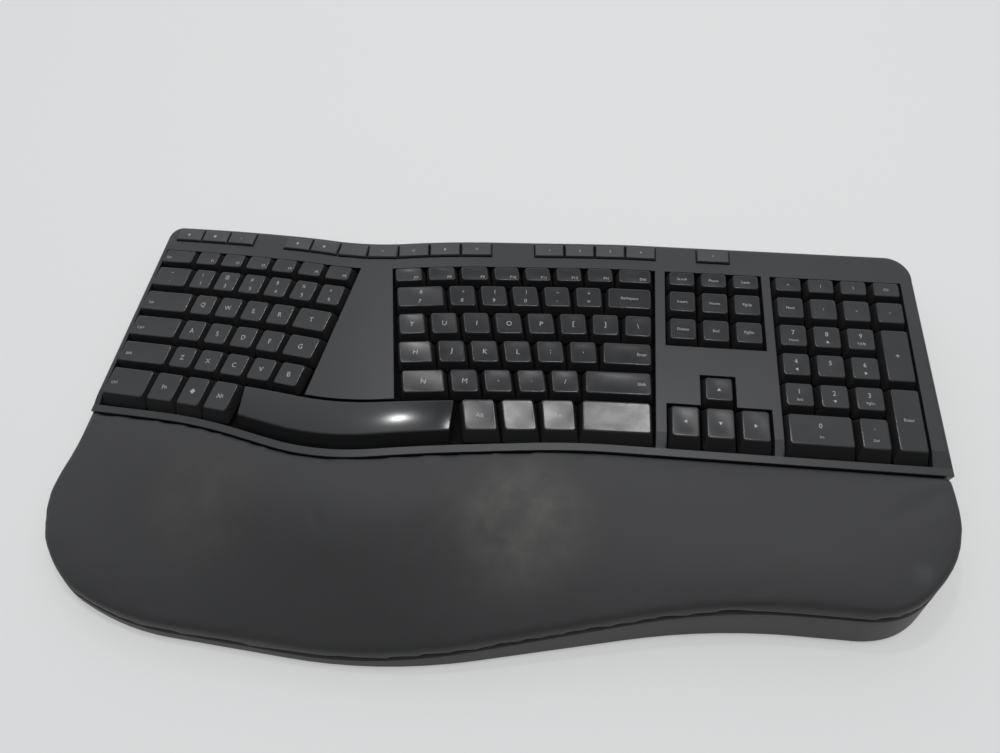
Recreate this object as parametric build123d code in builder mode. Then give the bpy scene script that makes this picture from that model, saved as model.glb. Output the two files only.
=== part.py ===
from build123d import *
import math
import os

# Ergonomic split keyboard. The desk is the plane z = 0, the back edge faces +Y and the number
# pad lies towards +X. The origin is on the desk under the middle of the body. Sizes in mm.

# Key grid
key_pitch = 19.05
key_gap = 0.9
key_level = 36.0
cap_height = 6.5
cap_wall = 1.2
cap_corner = 1.1
cap_side_inset = 1.7
cap_back_inset = 1.5
cap_front_inset = 2.8
bottom_row_depth = 25.4
bottom_row_front_inset = 5.4
function_row_depth = 13.4
function_row_front_inset = 2.2
function_row_back_inset = 0.8
key_travel = 2.2
travel_reserve = 0.45
left_side_skew_share = 0.35
right_side_skew_share = 0.9

# Deck: the arched surface that the key tops lie on, seen from the front
left_fall_angle = 10.3
right_fall_angle = 5.4
ridge_x = -70.7
ridge_reach = 61.0
shoulder_x = 39.6
shoulder_reach = 25.0

# Row line: the middle of the bottom row, seen from above
row_level = 2.1
right_row_angle = 6.28
left_row_angle = 11.3
outer_row_angle = 7.4
right_bend_x = 52.0
right_bend_reach = 32.0
valley_x = -86.0
valley_reach = 25.0
outer_bend_x = -175.0
outer_bend_reach = 60.0

# Body outline, seen from above
half_width = 250.0
back_edge_offset = 122.7
back_left_x = -225.0
back_right_x = 232.5
back_left_corner_depth = 8.0
back_right_corner_depth = 17.0
left_side_top_inset = 15.0
right_side_top_inset = 2.5
right_side_front_y = -32.0
left_side_front_y = -45.0
front_level = -99.22
front_right_x = 198.0
front_left_x = -216.0
front_right_bend_x = 125.0
front_right_bend_reach = 45.0
front_middle_bend_x = -45.0
front_middle_bend_reach = 50.0
front_left_bend_x = -188.0
front_left_bend_reach = 26.0
front_right_angle = 12.4
front_middle_angle = 4.0
front_left_angle = 24.0
right_corner_x = 238.0
right_corner_y = -78.0
left_corner_x = -244.5
left_corner_y = -78.0
skirt_lean_angle = 17.5

# Seam between the case and the palm rest, seen from above
seam_level = -15.7
seam_right_bend_x = 45.0
seam_right_bend_reach = 25.0
seam_valley_x = -92.0
seam_valley_reach = 30.0
seam_left_bend_x = -172.0
seam_left_bend_reach = 25.0
seam_right_angle = 7.97
seam_left_angle = 15.1
seam_outer_angle = 6.84

# Parting line between the lower housing and what stands on it, seen from the front
parting_right_level = 21.0
parting_angle = 4.29
parting_right_x = 140.0
parting_left_x = -60.0
parting_reach = 20.0

# Housings
foot_height = 2.0
floor_thickness = 2.0
wall = 2.2
roof_drop = 2.0
roof_thickness = 2.2
lip_width = 4.4
lip_drop = 4.0
lip_slope = 9.0
case_edge_radius = 3.0
rail_width = 4.0
seat_gap = 0.1
soft_gap = 0.3
well_clearance = 0.9
overrun = 5.0
long_stations = 17
outline_top = 60.0
rib_thickness = 1.6
rib_first_x = -190.0
rib_last_x = 215.0
rib_count = 6
cross_rib_offset = 50.0

# Key wells
well_level_low = 2.0
well_level_high = 93.0
left_well_low_x = -106.3
left_well_high_x = -88.0
right_well_low_x = -53.1
right_well_high_x = -68.5
right_block_edge_x = 92.3
pad_column_x = 172.16
nav_column_x = 109.0
well_back_gap = 0.7
well_wall = 1.6
sheet_left_x = -234.0
frame_split_x = -74.5

# Guide frames, domes, membrane and backing plate under the caps
guide_thickness = 0.8
guide_flange = 1.4
guide_collar = 7.6
guide_bore = 6.0
guide_rise = 2.6
guide_space = 0.9
stem_width = 5.5
stem_reach = 7.5
dome_height = 0.7
dome_radius = 2.4
dome_top_radius = 1.6
membrane_thickness = 0.5
plate_thickness = 0.8

# Space bar
space_left_x = -144.0
space_right_x = -19.5
space_front_inset = 6.4
space_guide_count = 3
space_stations = 13

# Hot keys on the back strip
hot_key_groups = [
    ("hot_keys_left", -227.4, -166.6, 3),
    ("hot_keys_middle", -144.4, -8.0, 7),
    ("hot_keys_right", 18.0, 93.6, 4),
    ("hot_keys_right", 118.4, 138.8, 1),
]
hot_row_offset = 114.9
hot_depth = 9.2
hot_gap = 0.6
hot_slot_gap = 0.4
hot_seat_gap = 0.6
hot_proud = 1.4
hot_bevel = 0.9
hot_lip = 0.7
hot_lip_thickness = 0.8
hot_travel = 0.6
hot_travel_reserve = 0.3
hot_switch_width = 4.0
hot_switch_height = 1.2
hot_strip_thickness = 0.8
hot_strip_front = 107.6
hot_strip_back = 120.2
hot_strip_left_x = -229.0
hot_strip_right_x = 141.0

# Palm rest
pad_thickness = 9.0
pad_back_crown = 1.5
pad_middle_crown = 2.0
pad_back_share = 0.28
pad_middle_share = 0.65
pad_front_rise = 11.0
pad_left_bend_x = -205.0
pad_left_bend_reach = 25.0
pad_left_angle = 8.0
pad_wrap = 5.0
carrier_thickness = 2.0
carrier_flange = 1.6
palm_over = 15.0
pad_edge_radius = 4.0

# Tilt legs
leg_x = 150.0
leg_left_y = -92.0
leg_right_y = -66.0
leg_width = 52.0
leg_length = 24.0
leg_thickness = 4.0
leg_gap = 0.5
leg_pin_radius = 1.2
leg_pin_length = 1.8
leg_pin_play = 0.1
leg_lift = 0.4
leg_tip_width = 36.0
leg_tip_thickness = 1.2
leg_pocket_wall = 3.0

# Feet, screws, board and cable inlet
case_screw_xs = [-155.0, 5.0, 106.0, 205.0]
case_screw_offset = 113.0
palm_screw_xs = [-188.0, -75.0, 60.0, 215.0]
palm_screw_offset = 34.0
foot_length = 34.0
foot_width = 9.0
foot_recess = 0.6
foot_spots = [(-190.0, 78.0), (10.0, 92.0), (205.0, 98.0), (-198.0, -70.0), (0.0, -98.0), (205.0, -72.0)]
screw_head_radius = 2.8
screw_head_height = 1.4
screw_radius = 1.3
screw_length = 7.0
screw_play = 0.15
boss_radius = 3.4
pillar_radius = 4.6
board_length = 62.0
board_width = 22.0
board_thickness = 1.6
board_x = 20.0
board_y = 78.0
board_level = 9.0
chip_size = 9.0
chip_height = 1.2
post_radius = 2.2
post_inset = 3.0
inlet_x = -50.0
inlet_level = 14.0
inlet_bore_radius = 2.3
inlet_radius = 4.2
inlet_flange_radius = 5.6
inlet_flange_thickness = 1.4
inlet_length = 9.0

os.makedirs("parts", exist_ok=True)


def keep(part, name):
    """Label a finished piece and write its file."""
    part.label = name
    export_step(part, f"parts/{name}.step")


class BentLine:
    """Straight stretches joined by parabolic bends, level at its right end.

    Each bend is (place, reach, change), listed from right to left, where change is what the
    bend adds to the rise for each millimetre that the line goes on to the left.
    """

    def __init__(self, level, bends):
        self.level = level
        self.bends = bends

    def at(self, x):
        total = self.level
        for place, reach, change in self.bends:
            run = place - x
            if run > reach:
                total += change * run
            elif run > -reach:
                total += change * (run + reach) ** 2 / (4 * reach)
        return total

    def slope(self, x):
        total = 0
        for place, reach, change in self.bends:
            share = (place - x + reach) / (2 * reach)
            total -= change * min(max(share, 0), 1)
        return total

    def draw(self, left_x, right_x, shift):
        """Add the line's edges to the line sketch in hand, from left to right."""
        start = (left_x, self.at(left_x) + shift)
        for place, reach, _ in reversed(self.bends):
            low = max(place - reach, left_x)
            high = min(place + reach, right_x)
            if low >= high:
                continue
            half = (high - low) / 2
            bend_start = (low, self.at(low) + shift)
            corner = (low + half, self.at(low) + shift + self.slope(low) * half)
            bend_end = (high, self.at(high) + shift)
            if low > start[0]:
                Line(start, bend_start)
            Bezier(bend_start, corner, bend_end)
            start = bend_end
        end = (right_x, self.at(right_x) + shift)
        Line(start, end)
        return end


def rise(angle):
    return math.tan(math.radians(angle))


deck = BentLine(
    key_level,
    [
        (shoulder_x, shoulder_reach, rise(right_fall_angle)),
        (ridge_x, ridge_reach, -rise(right_fall_angle) - rise(left_fall_angle)),
    ],
)
row_line = BentLine(
    row_level,
    [
        (right_bend_x, right_bend_reach, -rise(right_row_angle)),
        (valley_x, valley_reach, rise(right_row_angle) + rise(left_row_angle)),
        (outer_bend_x, outer_bend_reach, rise(outer_row_angle) - rise(left_row_angle)),
    ],
)
seam = BentLine(
    seam_level,
    [
        (seam_right_bend_x, seam_right_bend_reach, -rise(seam_right_angle)),
        (seam_valley_x, seam_valley_reach, rise(seam_right_angle) + rise(seam_left_angle)),
        (seam_left_bend_x, seam_left_bend_reach, rise(seam_outer_angle) - rise(seam_left_angle)),
    ],
)
front = BentLine(
    front_level,
    [
        (front_right_bend_x, front_right_bend_reach, -rise(front_right_angle)),
        (
            front_middle_bend_x,
            front_middle_bend_reach,
            rise(front_right_angle) + rise(front_middle_angle),
        ),
        (
            front_left_bend_x,
            front_left_bend_reach,
            rise(front_left_angle) - rise(front_middle_angle),
        ),
    ],
)
parting = BentLine(
    parting_right_level,
    [
        (parting_right_x, parting_reach, -rise(parting_angle)),
        (parting_left_x, parting_reach, rise(parting_angle)),
    ],
)

side_x = half_width + overrun
side_y = half_width
station_shares = [2 * step / (long_stations - 1) - 1 for step in range(long_stations)]
floor_top = foot_height + floor_thickness
left_back_y = row_line.at(back_left_x) + back_edge_offset
right_back_y = row_line.at(back_right_x) + back_edge_offset
left_side_back_y = left_back_y - back_left_corner_depth
right_side_back_y = right_back_y - back_right_corner_depth
left_side_rise = left_side_back_y - left_side_front_y


def left_side(y):
    """Where the left edge of the body lies at a given y."""
    share = (y - left_side_front_y) / left_side_rise
    return -half_width + left_side_top_inset * share


def draw_outline(height, inset):
    """Body outline at a height, its front leaning back as it rises, moved in by an inset."""
    lean = (height - foot_height) * rise(skirt_lean_angle) + inset
    left_back = (back_left_x, left_back_y - inset)
    right_back = (back_right_x, right_back_y - inset)
    right_top = (half_width - right_side_top_inset - inset, right_side_back_y)
    right_low = (half_width - inset, right_side_front_y)
    left_low = (-half_width + inset, left_side_front_y)
    left_top = (-half_width + left_side_top_inset + inset, left_side_back_y)
    front_right = (front_right_x, front.at(front_right_x) + lean)
    front_left = (front_left_x, front.at(front_left_x) + lean)
    share = inset / 2 + lean / 2
    right_corner = (right_corner_x - share, right_corner_y + share)
    left_corner = (left_corner_x + share, left_corner_y + share)
    side_left = (left_top[0] - left_low[0], left_top[1] - left_low[1])
    row_line.draw(back_left_x, back_right_x, back_edge_offset - inset)
    TangentArc(right_back, right_top, tangent=(1, 0))
    Line(right_top, right_low)
    Spline(
        right_low,
        right_corner,
        front_right,
        tangents=((0, -1), (-1, -front.slope(front_right_x))),
    )
    front.draw(front_left_x, front_right_x, lean)
    Spline(
        front_left,
        left_corner,
        left_low,
        tangents=((-1, -front.slope(front_left_x)), (0, 1)),
    )
    Line(left_low, left_top)
    TangentArc(left_top, left_back, tangent=side_left)


def body_block(inset):
    """The space inside the body outline, from the foot level up."""
    with BuildPart() as block:
        for height in (foot_height, outline_top):
            with BuildSketch(Plane.XY.offset(height)):
                with BuildLine():
                    draw_outline(height, inset)
                make_face()
        loft(ruled=True)
    return block.part


def layer(upper, upper_drop, lower, lower_drop):
    """Everything between two bent lines seen from the front, over the whole plan."""
    with BuildPart() as block:
        with BuildSketch(Plane.XZ):
            with BuildLine():
                high = upper.draw(-side_x, side_x, -upper_drop)
                low = lower.draw(-side_x, side_x, -lower_drop)
                Line(high, low)
                Line(
                    (-side_x, upper.at(-side_x) - upper_drop),
                    (-side_x, lower.at(-side_x) - lower_drop),
                )
            make_face()
        extrude(amount=side_y, both=True)
    return block.part


def plan_block(line, shift, towards):
    """The part of the plan behind (1) or before (-1) a bent line seen from above."""
    with BuildPart() as block:
        with BuildSketch(Plane.XY):
            with BuildLine():
                end = line.draw(-side_x, side_x, shift)
                far_y = towards * side_y
                start = (-side_x, line.at(-side_x) + shift)
                Polyline(end, (side_x, far_y), (-side_x, far_y), start)
            make_face()
        extrude(amount=outline_top)
    return block.part


# Key places: each cap stands on a plane of its own on the deck


class KeyPlace:
    def __init__(self, x, y, width, depth, insets, skew):
        angle = math.atan(row_line.slope(x))
        slope = deck.slope(x)
        self.plane = Plane(
            origin=(x, y, deck.at(x)),
            x_dir=(math.cos(angle), math.sin(angle), slope * math.cos(angle)),
            z_dir=(-slope, 0, 1),
        )
        self.width = width - key_gap
        self.depth = depth - key_gap
        self.insets = insets
        self.skew = skew * math.tan(angle)

    def sunk(self, drop):
        """The key's own plane, moved down along its normal."""
        return self.plane.offset(-drop)

    def corners(self, side, low, high, cut):
        """Eight corners of the cap's outline, moved in at its sides, front and back."""
        half = self.width / 2 - side
        bottom = low - self.depth / 2
        top = self.depth / 2 - high
        flat = [
            (half - cut, top),
            (half, top - cut),
            (half, bottom + cut),
            (half - cut, bottom),
            (cut - half, bottom),
            (-half, bottom + cut),
            (-half, top - cut),
            (cut - half, top),
        ]
        if cut == 0:
            flat = [(half, top), (half, bottom), (-half, bottom), (-half, top)]
        return [(u - self.skew * v, v) for u, v in flat]


plain_insets = (cap_side_inset, cap_front_inset, cap_back_inset)
bottom_insets = (cap_side_inset, bottom_row_front_inset, cap_back_inset)
function_insets = (cap_side_inset, function_row_front_inset, function_row_back_inset)

bottom_step = (bottom_row_depth + key_pitch) / 2
function_step = (function_row_depth + key_pitch) / 2
row_offsets = [
    bottom_step + 3 * key_pitch + function_step,
    bottom_step + 3 * key_pitch,
    bottom_step + 2 * key_pitch,
    bottom_step + key_pitch,
    bottom_step,
    0,
]
row_depths = [function_row_depth] + [key_pitch] * 4 + [bottom_row_depth]
row_insets = [function_insets] + [plain_insets] * 4 + [bottom_insets]

# Left block, one list for each row from the function row down: where the letter keys start, as
# a share of the pitch, then each key as (node, width share). The first key reaches the rail.
left_start_x = -205.4
left_bottom_shares = [1.15, 1.02, 1.04]
left_start_shares = [-0.06, 0.0, 0.37, 0.27, 0.23, -0.15]
left_rows = [
    ["function_keys_left"] + [("function_keys_left", 1.03)] * 6,
    ["number_keys_left"] + [("number_keys_left", 1.0)] * 6,
    ["tab_key"] + [("top_letter_keys_left", 1.0)] * 4 + [("top_letter_keys_left", 1.35)],
    ["caps_lock_key"] + [("home_keys_left", 1.0)] * 4 + [("home_keys_left", 1.25)],
    ["left_shift_key"] + [("low_letter_keys_left", 1.0)] * 5,
    ["left_control_key"] + [("bottom_keys_left", share) for share in left_bottom_shares],
]

# Right block, each row listed from its right end, where all rows line up
right_function_shares = [1.22, 1.0, 1.0, 1.0, 1.0, 1.06, 1.06, 1.06]
right_rows = [
    [("function_keys_right", share) for share in right_function_shares],
    [("backspace_key", 1.55)] + [("number_keys_right", 1.0)] * 5 + [("number_keys_right", 1.65)],
    [("top_letter_keys_right", 1.0)] * 8,
    [("enter_key", 1.65)] + [("home_keys_right", 1.0)] * 5 + [("home_keys_right", 1.2)],
    [("right_shift_key", 2.15)] + [("low_letter_keys_right", 1.0)] * 4 + [("low_letter_keys_right", 1.45)],
    [("right_control_key", 2.2)] + [("bottom_keys_right", 1.15)] * 3,
]

places = {}


def place_key(node, x, row, width, skew_share, depth=None, y=None):
    """Stand one cap on the deck and list it under its node."""
    if y is None:
        y = row_line.at(x) + row_offsets[row]
    if depth is None:
        depth = row_depths[row]
    key = KeyPlace(x, y, width, depth, row_insets[row], skew_share)
    places.setdefault(node, []).append(key)


def run_share(x):
    """How much of a step along the deck shows in plan along X."""
    return math.cos(math.atan(row_line.slope(x))) * math.cos(math.atan(deck.slope(x)))


for row, keys in enumerate(left_rows):
    edge = left_start_x + left_start_shares[row] * key_pitch
    rail_y = row_line.at(edge) + row_offsets[row]
    rail = left_side(rail_y) + rail_width
    rail_key_x = (edge + rail) / 2
    place_key(keys[0], rail_key_x, row, (edge - rail) / run_share(rail_key_x), left_side_skew_share)
    for node, width_share in keys[1:]:
        step = width_share * key_pitch * run_share(edge)
        place_key(node, edge + step / 2, row, width_share * key_pitch, left_side_skew_share)
        edge += step

for row, keys in enumerate(right_rows):
    edge = right_block_edge_x
    for node, width_share in keys:
        step = width_share * key_pitch * run_share(edge)
        place_key(node, edge - step / 2, row, width_share * key_pitch, right_side_skew_share)
        edge -= step

nav_nodes = ["navigation_keys_top", "navigation_keys_middle", "navigation_keys_low"]
for row, node in enumerate(nav_nodes):
    for column in range(3):
        place_key(node, nav_column_x + column * key_pitch, row, key_pitch, 0)
place_key("arrow_up_key", nav_column_x + key_pitch, 4, key_pitch, 0)
for column, node in enumerate(["arrow_left_key", "arrow_down_key", "arrow_right_key"]):
    place_key(node, nav_column_x + column * key_pitch, 5, key_pitch, 0)

pad_rows = [
    ("pad_keys_top", 0, 4),
    ("pad_keys_upper", 1, 4),
    ("pad_keys_seven_to_nine", 2, 3),
    ("pad_keys_four_to_six", 3, 3),
    ("pad_keys_low", 4, 3),
]
for node, row, count in pad_rows:
    for column in range(count):
        place_key(node, pad_column_x + column * key_pitch, row, key_pitch, 0)
pad_last_x = pad_column_x + 3 * key_pitch
tall_y = row_line.at(pad_last_x) + (row_offsets[2] + row_offsets[3]) / 2
place_key("pad_plus_key", pad_last_x, 2, key_pitch, 0, depth=2 * key_pitch, y=tall_y)
enter_depth = key_pitch + bottom_row_depth
enter_y = row_line.at(pad_last_x) + row_offsets[4] + key_pitch / 2 - enter_depth / 2
place_key("pad_enter_key", pad_last_x, 5, key_pitch, 0, depth=enter_depth, y=enter_y)
place_key("pad_zero_key", pad_column_x + key_pitch / 2, 5, 2 * key_pitch, 0)
place_key("pad_keys_low", pad_column_x + 2 * key_pitch, 5, key_pitch, 0)


def cap_solid(key):
    """Hollow tapered cap with a square stem that slides in the guide frame."""
    side, low, high = key.insets
    depth_share = (cap_height - cap_wall) / cap_height
    inner_side = cap_wall + side * depth_share
    inner_low = cap_wall + low * depth_share
    inner_high = cap_wall + high * depth_share
    with BuildPart() as cap:
        with BuildSketch(key.sunk(cap_height)):
            Polygon(*key.corners(0, 0, 0, cap_corner), align=None)
        with BuildSketch(key.plane):
            Polygon(*key.corners(side, low, high, cap_corner), align=None)
        loft(ruled=True)
        with BuildSketch(key.sunk(cap_height)):
            Polygon(*key.corners(cap_wall, cap_wall, cap_wall, 0), align=None)
        with BuildSketch(key.sunk(cap_wall)):
            Polygon(*key.corners(inner_side, inner_low, inner_high, 0), align=None)
        loft(ruled=True, mode=Mode.SUBTRACT)
        with BuildSketch(key.sunk(stem_reach)):
            Rectangle(stem_width, stem_width)
        extrude(amount=stem_reach - cap_wall)
    return cap.part


for node, keys in places.items():
    keep(Compound([cap_solid(key).solid() for key in keys]), node)

# Space bar: one long cap that follows the arch of the deck and the curve of the front lip
space_middle_x = (space_left_x + space_right_x) / 2
space_angle = math.atan(deck.slope(space_middle_x))
space_back_offset = (bottom_row_depth - key_gap) / 2


def space_section(x, inset, top_drop):
    """Four corners of the space bar's section across Y at a place along it."""
    back_y = row_line.at(x) + space_back_offset - inset
    front_y = seam.at(x) + lip_width + well_clearance + inset
    top_z = deck.at(x) - top_drop
    low_z = deck.at(x) - cap_height - inset
    lean_share = (top_z - low_z) / cap_height
    return [
        (front_y, low_z),
        (front_y + space_front_inset * lean_share, top_z),
        (back_y - cap_back_inset * lean_share, top_z),
        (back_y, low_z),
    ]


def space_block(inset, top_drop):
    with BuildPart() as block:
        for step in range(space_stations):
            share = step / (space_stations - 1)
            low_x = space_left_x + inset
            x = low_x + (space_right_x - inset - low_x) * share
            with BuildSketch(Plane.YZ.offset(x)):
                Polygon(*space_section(x, inset, top_drop), align=None)
        loft(ruled=True)
    return block.part


space_guides = []
for index in range(space_guide_count):
    share = (index + 1) / (space_guide_count + 1)
    guide_x = space_left_x + (space_right_x - space_left_x) * share
    middle = (row_line.at(guide_x) + space_back_offset - cap_back_inset) / 2
    middle += (seam.at(guide_x) + lip_width + well_clearance + space_front_inset) / 2
    space_guides.append(
        Plane(
            origin=(guide_x, middle, deck.at(guide_x)),
            x_dir=(math.cos(space_angle), 0, math.sin(space_angle)),
            z_dir=(-math.sin(space_angle), 0, math.cos(space_angle)),
        )
    )

with BuildPart() as space_bar:
    add(space_block(0, 0))
    add(space_block(cap_wall, cap_wall), mode=Mode.SUBTRACT)
    for plane in space_guides:
        with BuildSketch(plane.offset(-stem_reach)):
            Rectangle(stem_width, stem_width)
        extrude(amount=stem_reach - cap_wall / 2)
keep(space_bar.part, "space_bar")

# Depths below the deck, one under the other
guide_top = cap_height + key_travel + travel_reserve
guide_under = guide_top + guide_thickness
sheet_top = guide_under + guide_space
sheet_under = sheet_top + membrane_thickness
plate_top = sheet_under + seat_gap
plate_under = plate_top + plate_thickness
hot_lip_top = roof_drop + roof_thickness + hot_seat_gap
hot_under = hot_lip_top + hot_lip_thickness
hot_switch_top = hot_under + hot_travel + hot_travel_reserve
hot_strip_top = hot_switch_top + hot_switch_height
hot_strip_under = hot_strip_top + hot_strip_thickness
ground = BentLine(0, [])

# Key wells seen from above
cap_half = (key_pitch - key_gap) / 2
well_back_offset = row_offsets[0] + (function_row_depth - key_gap) / 2 + well_back_gap
band_back_offset = space_back_offset + well_clearance
left_well_rate = (left_well_high_x - left_well_low_x) / (well_level_high - well_level_low)
right_well_rate = (right_well_high_x - right_well_low_x) / (well_level_high - well_level_low)


def plan_band(left_x, right_x, low, low_shift, high, high_shift):
    """The strip between two bent lines seen from above."""
    with BuildSketch() as band:
        with BuildLine():
            low_end = low.draw(left_x, right_x, low_shift)
            high_end = high.draw(left_x, right_x, high_shift)
            Line(low_end, high_end)
            Line((left_x, low.at(left_x) + low_shift), (left_x, high.at(left_x) + high_shift))
        make_face()
    return band.sketch


def slanted(low_x, rate, grow, right_x):
    """Corners of an area over the whole depth, its left or right edge along a slanted line."""
    return [
        (low_x + grow + rate * (-side_y - well_level_low), -side_y),
        (right_x, -side_y),
        (right_x, side_y),
        (low_x + grow + rate * (side_y - well_level_low), side_y),
    ]


def well_plan(grow):
    """All key wells seen from above, widened on every side."""
    half = cap_half + well_clearance + grow
    right_x = right_block_edge_x + well_clearance + grow
    rail_rate = left_side_top_inset / left_side_rise
    rail_x = left_side(well_level_low) + rail_width - grow
    nav_y = row_line.at(nav_column_x) + row_offsets[2] - half
    up_y = row_line.at(nav_column_x) + row_offsets[4]
    last_x = pad_column_x + 3 * key_pitch
    with BuildSketch() as blocks:
        Polygon(*slanted(right_well_low_x, right_well_rate, -grow, right_x), align=None)
        Polygon(*slanted(left_well_low_x, left_well_rate, grow, -side_x), align=None)
        with Locations((nav_column_x + key_pitch, nav_y)):
            Rectangle(2 * (key_pitch + half), side_y, align=(Align.CENTER, Align.MIN))
        with Locations(((pad_column_x + last_x) / 2, 0)):
            Rectangle(last_x - pad_column_x + 2 * half, 2 * side_y)
    lip = lip_width - grow
    back = well_back_offset + grow
    band = band_back_offset + grow
    arrows_left_x = nav_column_x - half
    arrows_right_x = nav_column_x + 2 * key_pitch + half
    with BuildSketch() as plan:
        add(plan_band(-side_x, side_x, seam, lip, row_line, back))
        add(blocks.sketch, mode=Mode.INTERSECT)
        add(plan_band(-side_x, right_x, seam, lip, row_line, band))
        add(plan_band(arrows_left_x, arrows_right_x, seam, lip, row_line, band))
        with Locations((nav_column_x + key_pitch, up_y)):
            Rectangle(2 * half, 2 * half)
        Polygon(*slanted(rail_x, rail_rate, 0, side_x), align=None, mode=Mode.INTERSECT)
    return plan.sketch


def standing(sketch):
    """A plan raised over the whole height of the body."""
    with BuildPart() as block:
        with BuildSketch(Plane.XY):
            add(sketch)
        extrude(amount=outline_top)
    return block.part


def slice_between(left_x, right_x):
    """Everything between two places along X."""
    with BuildPart() as block:
        with Locations(((left_x + right_x) / 2, 0, outline_top / 2)):
            Box(right_x - left_x, 2 * side_y, outline_top)
    return block.part


def lip_step(drop):
    """Space over the front lip and over the slope that runs down to it."""
    rise_over = 2 * (lip_drop - roof_drop)
    with BuildPart() as step:
        for share in station_shares:
            x = side_x * share
            edge_y = seam.at(x) + lip_width + drop
            low_z = deck.at(x) - lip_drop - drop
            with BuildSketch(Plane.YZ.offset(x)):
                Polygon(
                    (-side_y, low_z),
                    (edge_y, low_z),
                    (edge_y + 2 * lip_slope, low_z + rise_over),
                    (-side_y, low_z + rise_over),
                    align=None,
                )
        loft()
    return step.part


def case_space(inset, drop):
    """Space under the deck behind the seam, sloped down to the front lip."""
    with BuildPart() as space:
        add(body_block(inset))
        add(layer(deck, roof_drop + drop, ground, 0), mode=Mode.INTERSECT)
        add(plan_block(seam, inset, 1), mode=Mode.INTERSECT)
        add(lip_step(drop), mode=Mode.SUBTRACT)
    return space.part


# Palm surface: arched from side to side with the deck, falling towards the front
pad_front = BentLine(
    parting_right_level + pad_front_rise,
    parting.bends + [(pad_left_bend_x, pad_left_bend_reach, -rise(pad_left_angle))],
)


def palm_block(drop):
    """Space under the palm surface, or under a surface parallel to it."""
    with BuildPart() as block:
        for share in station_shares:
            x = side_x * share
            back_y = seam.at(x)
            back_z = deck.at(x) - lip_drop - drop
            front_z = pad_front.at(x) - drop
            front_y = front.at(x) + (front_z + drop - foot_height) * rise(skirt_lean_angle)
            depth = back_y - front_y
            middle_z = (back_z + front_z) / 2 + pad_middle_crown
            with BuildSketch(Plane.YZ.offset(x)):
                with BuildLine():
                    Spline(
                        (back_y + palm_over, back_z),
                        (back_y, back_z),
                        (back_y - pad_back_share * depth, back_z + pad_back_crown),
                        (back_y - pad_middle_share * depth, middle_z),
                        (front_y, front_z),
                        (front_y - palm_over, front_z - palm_over / 2),
                    )
                    Polyline(
                        (front_y - palm_over, front_z - palm_over / 2),
                        (front_y - palm_over, -palm_over),
                        (back_y + palm_over, -palm_over),
                        (back_y + palm_over, back_z),
                    )
                make_face()
        loft()
    return block.part


def palm_space(inset, drop, seam_inset):
    """Space before the seam, inside the body outline and under the palm surface."""
    with BuildPart() as space:
        add(body_block(inset))
        add(palm_block(drop), mode=Mode.INTERSECT)
        add(plan_block(seam, -seam_inset, -1), mode=Mode.INTERSECT)
    return space.part


# Fixings: screws come up through pillars of the lower housing into posts above them
pillar_top = foot_height + screw_head_height + wall + wall
screw_seat = foot_height + screw_head_height + seat_gap


def screw_points(xs, line, shift):
    return [(x, line.at(x) + shift) for x in xs]


case_screw_points = screw_points(case_screw_xs, row_line, case_screw_offset)
palm_screw_points = screw_points(palm_screw_xs, seam, -palm_screw_offset)
screw_spots = case_screw_points + palm_screw_points

# Hot keys: low buttons in slots of the back strip
hot_groups = {}
for node, left_x, right_x, count in hot_key_groups:
    step = (right_x - left_x) / count
    for index in range(count):
        x = left_x + step * (index + 1 / 2)
        key = KeyPlace(x, row_line.at(x) + hot_row_offset, step, hot_depth, plain_insets, 0)
        hot_groups.setdefault(node, []).append(key)


def hot_key(key):
    """Low button with a lip before and behind that keeps it under the roof."""
    length = key.width + key_gap - hot_gap
    proud = roof_drop - hot_proud
    with BuildPart() as button:
        with BuildSketch(key.sunk(hot_lip_top)):
            Rectangle(length, hot_depth)
        extrude(amount=hot_lip_top - proud - hot_bevel)
        with BuildSketch(key.sunk(proud + hot_bevel)):
            Rectangle(length, hot_depth)
        with BuildSketch(key.sunk(proud)):
            Rectangle(length - 2 * hot_bevel, hot_depth - 2 * hot_bevel)
        loft()
        with BuildSketch(key.sunk(hot_under)):
            Rectangle(length, hot_depth + 2 * hot_lip)
        extrude(amount=hot_lip_thickness)
    return button.part


for node, keys in hot_groups.items():
    keep(Compound([hot_key(key).solid() for key in keys]), node)

hot_places = [key for keys in hot_groups.values() for key in keys]
with BuildPart() as hot_slots:
    for key in hot_places:
        slot_width = key.width + key_gap + 2 * hot_slot_gap - hot_gap
        with BuildSketch(key.sunk(roof_drop)):
            Rectangle(slot_width, hot_depth + 2 * hot_slot_gap)
        extrude(amount=hot_lip_top, both=True)

# Cable inlet in the back wall
inlet_angle = math.atan(row_line.slope(inlet_x))
inlet_plane = Plane(
    origin=(inlet_x, row_line.at(inlet_x) + back_edge_offset, inlet_level),
    x_dir=(math.cos(inlet_angle), math.sin(inlet_angle), 0),
    z_dir=(-math.sin(inlet_angle), math.cos(inlet_angle), 0),
)

# Upper housing: arched shell with the wells, the hot key slots and the front lip
with BuildPart() as well_walls:
    add(standing(well_plan(well_wall)))
    add(layer(deck, roof_drop + roof_thickness / 2, deck, guide_top), mode=Mode.INTERSECT)
    add(case_space(0, 0), mode=Mode.INTERSECT)

with BuildPart() as case_bosses:
    with BuildSketch(Plane.XY.offset(pillar_top + seat_gap)):
        with Locations(*case_screw_points):
            Circle(boss_radius)
    extrude(amount=outline_top)
    add(layer(deck, roof_drop + roof_thickness / 2, ground, 0), mode=Mode.INTERSECT)

outline_core = body_block(wall)


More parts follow.
